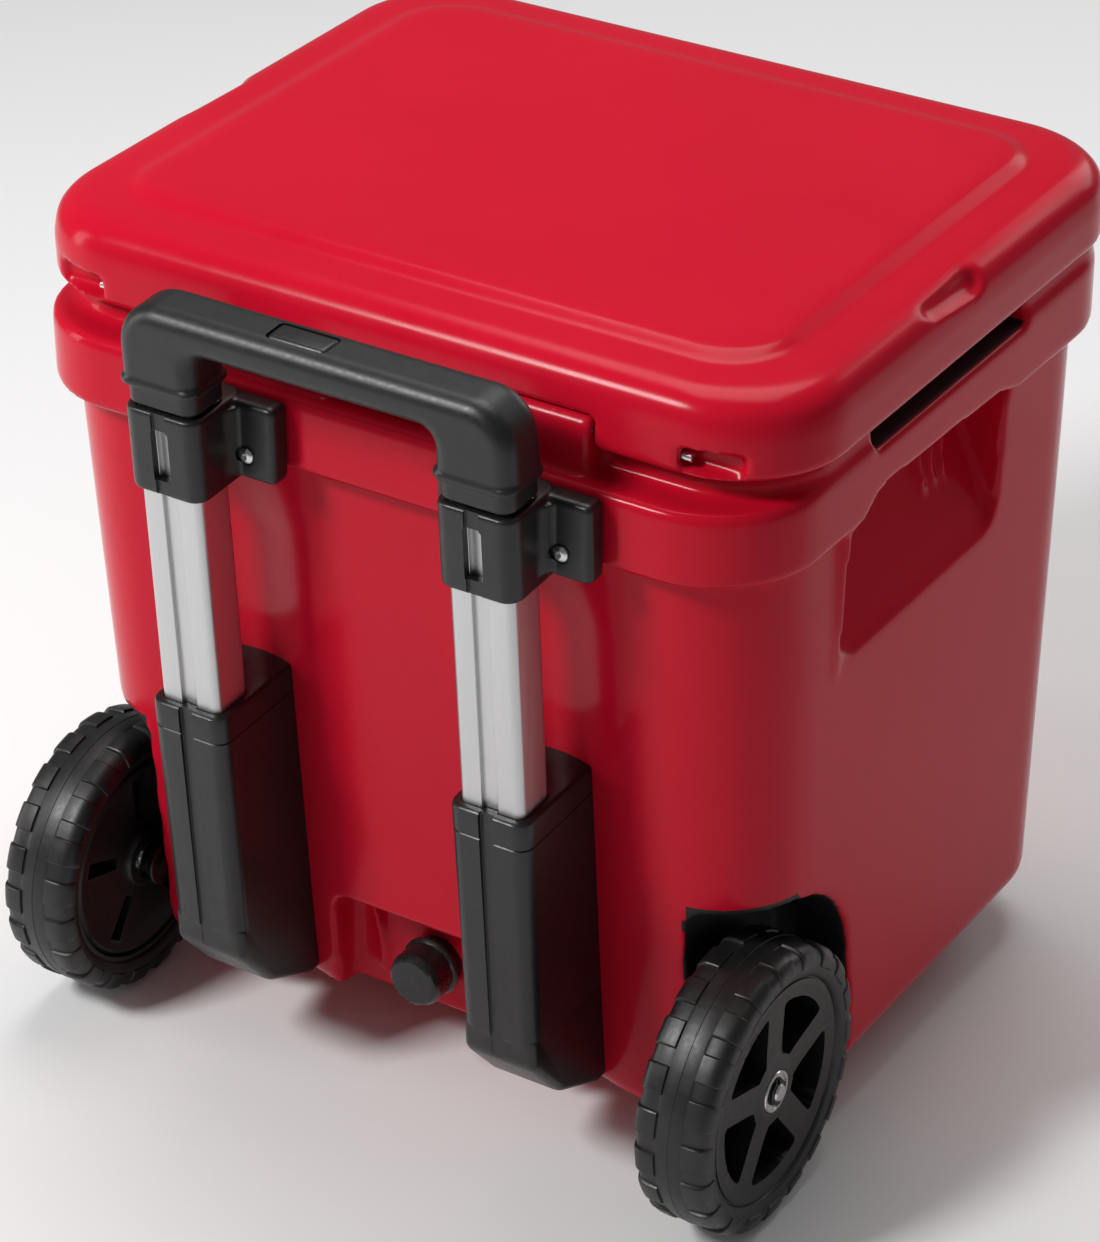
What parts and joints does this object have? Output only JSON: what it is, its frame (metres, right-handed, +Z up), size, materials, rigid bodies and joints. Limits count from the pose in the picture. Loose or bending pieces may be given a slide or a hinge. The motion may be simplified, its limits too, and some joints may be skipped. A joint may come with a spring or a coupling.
{
  "type": "wheeled cooler chest",
  "caption": "Insulated hard cooler chest with a hinged lid, two wheels, a telescopic pull handle with a release button, hand pockets and a screw-capped drain.",
  "frame": {"origin": "under the middle of the whole object's box, on the ground plane that the wheels and feet stand on", "axes": "+Z up; -Y towards the handle, wheels and hinge; +Y towards the latches; +X to the right as seen from the handle side"},
  "size_m": [0.514, 0.5116, 0.538],
  "materials": {
    "red_moulding": "glossy rotomoulded polyethylene",
    "black_plastic": "satin moulded nylon",
    "tyre_rubber": "matt tread rubber",
    "rubber": "matt",
    "steel": "plain bright",
    "aluminium": "satin anodised",
    "foam": "rigid closed-cell foam",
    "seal": "matt"
  },
  "bodies": {
    "chest": {"body_shell": "red_moulding", "body_foam": "foam", "body_foam_plug": "foam", "hinge_pin_left": "steel", "hinge_pin_right": "steel", "latch_keeper_left": "black_plastic", "latch_keeper_right": "black_plastic", "drain_fitting": "black_plastic", "stub_axle_left": "steel", "stub_axle_right": "steel", "axle_clip_left": "steel", "axle_clip_right": "steel", "collar_left": "black_plastic", "collar_right": "black_plastic", "collar_screw_left_a": "steel", "collar_screw_left_b": "steel", "collar_screw_right_a": "steel", "collar_screw_right_b": "steel", "boot_left": "black_plastic", "boot_right": "black_plastic", "boot_bolt_left": "steel", "boot_bolt_right": "steel", "outer_tube_left": "aluminium", "outer_tube_right": "aluminium", "foot_left": "rubber", "foot_right": "rubber"},
    "lid": {"lid_shell": "red_moulding", "lid_foam": "foam", "lid_foam_plug": "foam", "lid_gasket": "seal", "latch_pin_left": "steel", "latch_pin_right": "steel"},
    "latch_left": {"latch_left": "rubber"},
    "latch_right": {"latch_right": "rubber"},
    "drain_cap": {"drain_plug": "black_plastic", "drain_gasket": "seal"},
    "wheel_left": {"tyre_left": "tyre_rubber", "hub_left": "black_plastic", "bearing_left": "steel"},
    "wheel_right": {"tyre_right": "tyre_rubber", "hub_right": "black_plastic", "bearing_right": "steel"},
    "middle_stage": {"middle_tube_left": "aluminium", "middle_tube_right": "aluminium"},
    "handle": {"inner_tube_left": "aluminium", "inner_tube_right": "aluminium", "grip": "black_plastic", "button_spring": "steel"},
    "release": {"release_button": "black_plastic", "release_bar": "black_plastic", "release_rod_left": "steel", "release_rod_right": "steel"},
    "lock_pin_left": {"lock_pin_left": "steel"},
    "lock_pin_right": {"lock_pin_right": "steel"}
  },
  "joints": [
    {"name": "lid_hinge", "type": "hinge", "parent": "chest", "child": "lid", "pos_m": [0, -0.1792, 0.4935], "axis": [1, 0, 0], "range_deg": [0, 70]},
    {"name": "latch_left_pivot", "type": "hinge", "parent": "lid", "child": "latch_left", "pos_m": [-0.12, 0.2268, 0.506], "axis": [1, 0, 0], "range_deg": [0, 60]},
    {"name": "latch_right_pivot", "type": "hinge", "parent": "lid", "child": "latch_right", "pos_m": [0.12, 0.2268, 0.506], "axis": [1, 0, 0], "range_deg": [0, 60]},
    {"name": "drain_turn", "type": "hinge", "parent": "chest", "child": "drain_cap", "pos_m": [0, -0.1567, 0.0745], "axis": [0, -1, 0], "range_deg": [0, 720]},
    {"name": "wheel_left_spin", "type": "hinge", "parent": "chest", "child": "wheel_left", "pos_m": [-0.226, -0.1637, 0.088], "axis": [1, 0, 0], "continuous": true},
    {"name": "wheel_right_spin", "type": "hinge", "parent": "chest", "child": "wheel_right", "pos_m": [0.226, -0.1637, 0.088], "axis": [1, 0, 0], "continuous": true},
    {"name": "middle_slide", "type": "slide", "parent": "chest", "child": "middle_stage", "axis": [0, -0.0489, 0.9988], "range_m": [0, 0.25]},
    {"name": "handle_slide", "type": "slide", "parent": "middle_stage", "child": "handle", "axis": [0, -0.0489, 0.9988], "range_m": [0, 0.26]},
    {"name": "button_press", "type": "slide", "parent": "handle", "child": "release", "axis": [0, 0.0489, -0.9988], "range_m": [0, 0.003], "stiffness_N_per_m": 900, "springref_m": -0.001, "deforming": ["button_spring"]},
    {"name": "lock_pin_left_slide", "type": "slide", "parent": "handle", "child": "lock_pin_left", "axis": [0, -0.9988, -0.0489], "range_m": [0, 0.0015]},
    {"name": "lock_pin_right_slide", "type": "slide", "parent": "handle", "child": "lock_pin_right", "axis": [0, -0.9988, -0.0489], "range_m": [0, 0.0015]}
  ],
  "couplings": [
    {"joint": "lock_pin_left_slide", "follows": "button_press", "ratio": 0.5},
    {"joint": "lock_pin_right_slide", "follows": "button_press", "ratio": 0.5}
  ]
}
